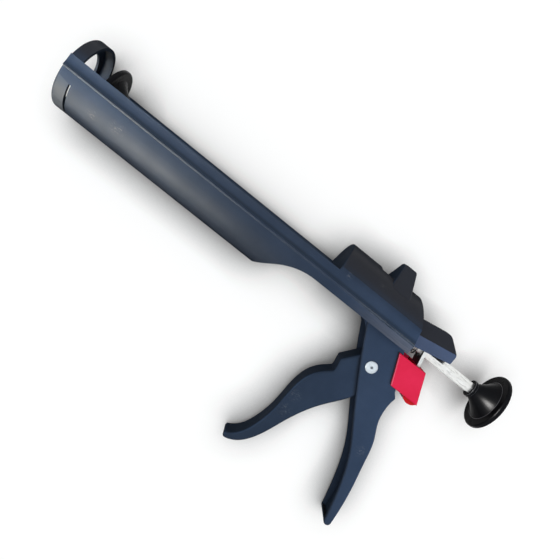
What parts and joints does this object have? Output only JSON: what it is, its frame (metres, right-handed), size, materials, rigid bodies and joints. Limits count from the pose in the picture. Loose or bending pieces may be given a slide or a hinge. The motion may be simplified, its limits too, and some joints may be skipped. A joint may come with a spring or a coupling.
{
  "type": "caulking gun",
  "caption": "Half-round cradle caulking gun with a nose ring, hexagonal push rod, friction drive worked by a trigger, moulded grip and thumb release.",
  "frame": {"origin": "centre of the nozzle hole, on the barrel axis in the front face of the nose ring", "axes": "+X rearward along the barrel to the pull knob, +Y up to the open side of the cradle and away from the grip, +Z across the gun and up, because the gun lies on its side"},
  "size_m": [0.3845, 0.1913, 0.0558],
  "materials": {
    "body_plastic": "satin navy moulding",
    "trigger_plastic": "satin navy moulding",
    "disc_plastic": "glossy near-black moulding",
    "cap_plastic": "satin crimson moulding",
    "rod_steel": "bright zinc-plated steel",
    "plate_steel": "plain steel plate",
    "spring_steel": "bright spring wire",
    "screw_steel": "zinc-plated",
    "rivet_metal": "bright aluminium"
  },
  "bodies": {
    "frame": {"body": "body_plastic", "trigger_rivet": "rivet_metal", "rivet_washer": "rivet_metal", "spring_seat": "plate_steel", "drive_spring": "spring_steel", "catch_spring": "spring_steel"},
    "trigger": {"trigger": "trigger_plastic"},
    "drive": {"drive_plate_front": "plate_steel", "drive_plate_rear": "plate_steel"},
    "rod": {"push_rod": "rod_steel", "piston": "disc_plastic", "pull_knob": "disc_plastic", "disc_screws": "screw_steel", "disc_washers": "screw_steel"},
    "catch": {"catch_plate": "plate_steel", "thumb_cap": "cap_plastic"}
  },
  "joints": [
    {"name": "trigger_squeeze", "type": "hinge", "parent": "frame", "child": "trigger", "pos_m": [0.2921, -0.0325, 0], "axis": [0, 0, 1], "range_deg": [0, 32], "stiffness_Nm_per_rad": 0.4, "springref_deg": -11.46, "deforming": ["drive_spring"]},
    {"name": "drive_slide", "type": "slide", "parent": "frame", "child": "drive", "axis": [-1, 0, 0], "range_m": [0, 0.0114], "deforming": ["drive_spring"]},
    {"name": "rod_slide", "type": "slide", "parent": "frame", "child": "rod", "axis": [1, 0, 0], "range_m": [-0.02, 0.176]},
    {"name": "catch_release", "type": "hinge", "parent": "frame", "child": "catch", "pos_m": [0.31445, 0.012, 0], "axis": [0, 0, 1], "range_deg": [-4, 0], "stiffness_Nm_per_rad": 1, "springref_deg": 2.01, "deforming": ["catch_spring"]}
  ],
  "couplings": [
    {"joint": "drive_slide", "follows": "trigger_squeeze", "m_per_rad": 0.0202}
  ]
}
